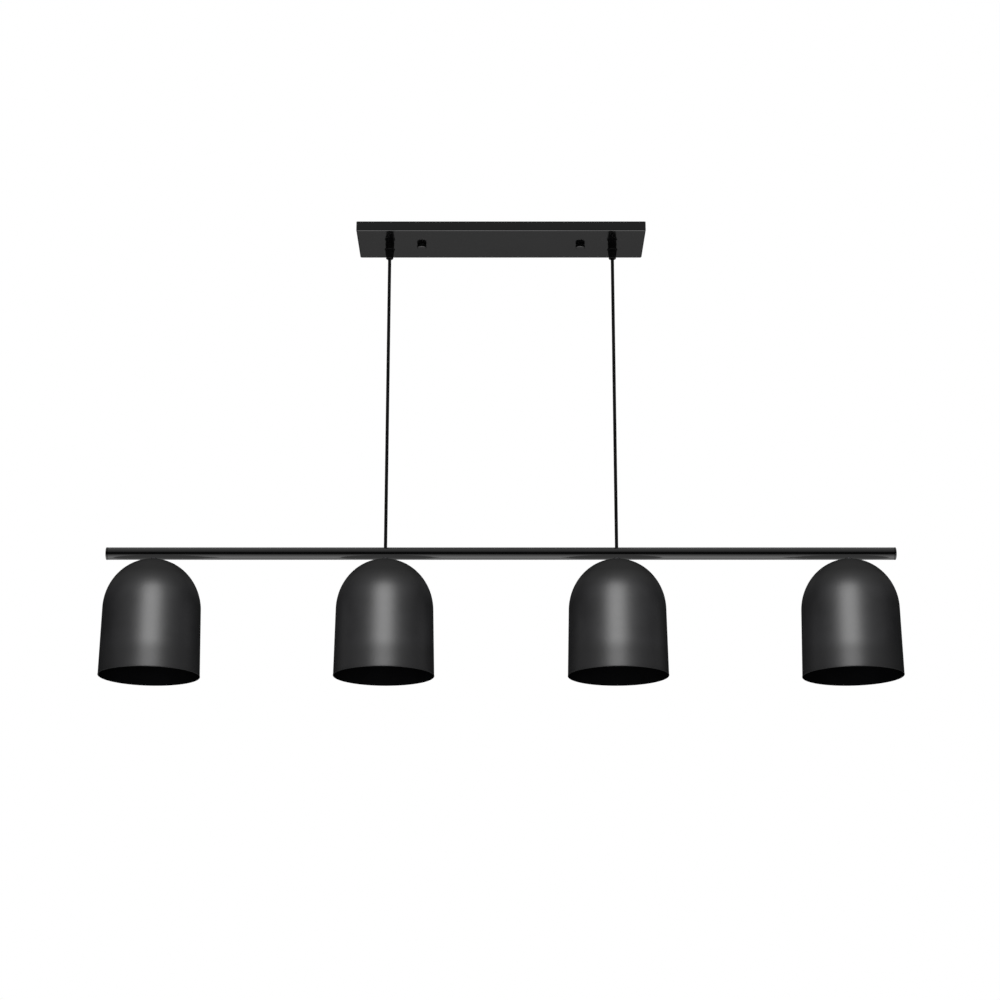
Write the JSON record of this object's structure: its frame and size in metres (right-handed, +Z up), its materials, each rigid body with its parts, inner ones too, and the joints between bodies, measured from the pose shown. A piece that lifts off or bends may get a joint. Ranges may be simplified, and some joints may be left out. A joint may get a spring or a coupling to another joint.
{
  "type": "linear pendant lamp",
  "caption": "Linear pendant lamp: flat ceiling canopy, vertical cords, a round bar and a row of open black domed shades.",
  "frame": {"origin": "centre of the canopy's ceiling face", "axes": "+Z up into the ceiling, +X along the bar, -Y towards the viewer"},
  "size_m": [1.0188, 0.1282, 0.5991],
  "materials": {
    "gloss_black_steel": "gloss black lacquer",
    "gloss_black_nut": "gloss black, knurled",
    "gloss_black_cap": "gloss black",
    "zinc_steel": "zinc plated",
    "black_nylon": "moulded, satin",
    "bush_rubber": "soft matt rubber",
    "cord_sheath": "smooth flexible sheath",
    "bright_brass": "bright",
    "green_screw_steel": "green plated",
    "green_wire": "insulation",
    "black_wire": "insulation",
    "white_wire": "insulation",
    "connector_plastic": "moulded, fluted",
    "satin_black_shade": "satin black powder coat",
    "phenolic": "moulded phenolic",
    "white_ceramic": "glazed",
    "bulb_cap_metal": "rolled thread",
    "frosted_glass": "frosted"
  },
  "bodies": {
    "ceiling_mount": {"canopy": "gloss_black_steel", "mounting_bracket": "zinc_steel", "canopy_studs": "zinc_steel", "stud_lock_nuts": "zinc_steel", "cap_nut_washers": "gloss_black_steel", "ground_screw": "green_screw_steel", "ground_lug": "bright_brass", "ground_wire": "green_wire", "wire_connectors": "connector_plastic", "line_lead": "black_wire", "neutral_lead": "white_wire", "ground_lead": "green_wire", "grip_lock_nuts": "black_nylon", "grip_body_left": "black_nylon", "grip_body_right": "black_nylon", "slack_coil_left": "cord_sheath", "slack_coil_right": "cord_sheath"},
    "cap_nut_left": {"cap_nut_left": "gloss_black_nut"},
    "gland_nut_left": {"gland_nut_left": "black_nylon"},
    "clamp_bush_left": {"clamp_bush_left": "bush_rubber"},
    "cord_left": {"cord_left": "cord_sheath"},
    "cord_foot_left": {"cord_foot_left": "bright_brass"},
    "cap_nut_right": {"cap_nut_right": "gloss_black_nut"},
    "gland_nut_right": {"gland_nut_right": "black_nylon"},
    "clamp_bush_right": {"clamp_bush_right": "bush_rubber"},
    "cord_right": {"cord_right": "cord_sheath"},
    "cord_foot_right": {"cord_foot_right": "bright_brass"},
    "bar": {"bar_tube": "gloss_black_steel", "end_cap_left": "gloss_black_cap", "end_cap_right": "gloss_black_cap", "cord_seats": "black_nylon", "harness_line": "black_wire", "harness_neutral": "white_wire", "saddle_nuts": "zinc_steel", "lamp_nipples": "zinc_steel", "shade_washers": "zinc_steel", "shade_lock_nuts": "zinc_steel", "holder_caps": "phenolic", "screw_shells": "bright_brass", "holder_insulators": "white_ceramic", "centre_contacts": "bright_brass", "terminal_screws": "bright_brass", "shade_1": "satin_black_shade", "holder_body_1": "phenolic", "shade_2": "satin_black_shade", "holder_body_2": "phenolic", "shade_3": "satin_black_shade", "holder_body_3": "phenolic", "shade_4": "satin_black_shade", "holder_body_4": "phenolic"},
    "bulb_1": {"bulb_base_1": "bulb_cap_metal", "bulb_globe_1": "frosted_glass"},
    "bulb_2": {"bulb_base_2": "bulb_cap_metal", "bulb_globe_2": "frosted_glass"},
    "bulb_3": {"bulb_base_3": "bulb_cap_metal", "bulb_globe_3": "frosted_glass"},
    "bulb_4": {"bulb_base_4": "bulb_cap_metal", "bulb_globe_4": "frosted_glass"}
  },
  "joints": [
    {"name": "swing_left", "type": "hinge", "parent": "ceiling_mount", "child": "clamp_bush_left", "pos_m": [-0.1484, 0, -0.0305], "axis": [1, 0, 0], "range_deg": [-15, 15]},
    {"name": "sway_left", "type": "hinge", "parent": "clamp_bush_left", "child": "cord_left", "pos_m": [-0.1484, 0, -0.0305], "axis": [0, 1, 0], "range_deg": [-10, 10]},
    {"name": "height_left", "type": "slide", "parent": "cord_left", "child": "cord_foot_left", "axis": [0, 0, 1], "range_m": [-0.5, 0.25], "deforming": ["cord_left"]},
    {"name": "swing_right", "type": "hinge", "parent": "ceiling_mount", "child": "clamp_bush_right", "pos_m": [0.1484, 0, -0.0305], "axis": [1, 0, 0], "range_deg": [-15, 15]},
    {"name": "sway_right", "type": "hinge", "parent": "clamp_bush_right", "child": "cord_right", "pos_m": [0.1484, 0, -0.0305], "axis": [0, 1, 0], "range_deg": [-10, 10]},
    {"name": "height_right", "type": "slide", "parent": "cord_right", "child": "cord_foot_right", "axis": [0, 0, 1], "range_m": [-0.5, 0.25], "deforming": ["cord_right"]},
    {"name": "bar_level", "type": "hinge", "parent": "cord_foot_left", "child": "bar", "pos_m": [-0.1484, 0, -0.4352], "axis": [0, 1, 0], "range_deg": [-10, 10]},
    {"name": "cap_nut_turn_left", "type": "hinge", "parent": "ceiling_mount", "child": "cap_nut_left", "pos_m": [-0.10575, 0, -0.016], "axis": [0, 0, 1], "continuous": true},
    {"name": "gland_nut_turn_left", "type": "hinge", "parent": "ceiling_mount", "child": "gland_nut_left", "pos_m": [-0.1484, 0, -0.0266], "axis": [0, 0, 1], "continuous": true},
    {"name": "cap_nut_turn_right", "type": "hinge", "parent": "ceiling_mount", "child": "cap_nut_right", "pos_m": [0.10575, 0, -0.016], "axis": [0, 0, 1], "continuous": true},
    {"name": "gland_nut_turn_right", "type": "hinge", "parent": "ceiling_mount", "child": "gland_nut_right", "pos_m": [0.1484, 0, -0.0266], "axis": [0, 0, 1], "continuous": true},
    {"name": "bulb_turn_1", "type": "hinge", "parent": "bar", "child": "bulb_1", "pos_m": [-0.4452, 0, -0.49], "axis": [0, 0, 1], "continuous": true},
    {"name": "bulb_turn_2", "type": "hinge", "parent": "bar", "child": "bulb_2", "pos_m": [-0.1484, 0, -0.49], "axis": [0, 0, 1], "continuous": true},
    {"name": "bulb_turn_3", "type": "hinge", "parent": "bar", "child": "bulb_3", "pos_m": [0.1484, 0, -0.49], "axis": [0, 0, 1], "continuous": true},
    {"name": "bulb_turn_4", "type": "hinge", "parent": "bar", "child": "bulb_4", "pos_m": [0.4452, 0, -0.49], "axis": [0, 0, 1], "continuous": true}
  ],
  "couplings": [
    {"joint": "swing_right", "follows": "swing_left", "ratio": 1},
    {"joint": "sway_right", "follows": "sway_left", "ratio": 1},
    {"joint": "height_right", "follows": "height_left", "ratio": 1},
    {"joint": "bar_level", "follows": "sway_left", "ratio": -1}
  ]
}
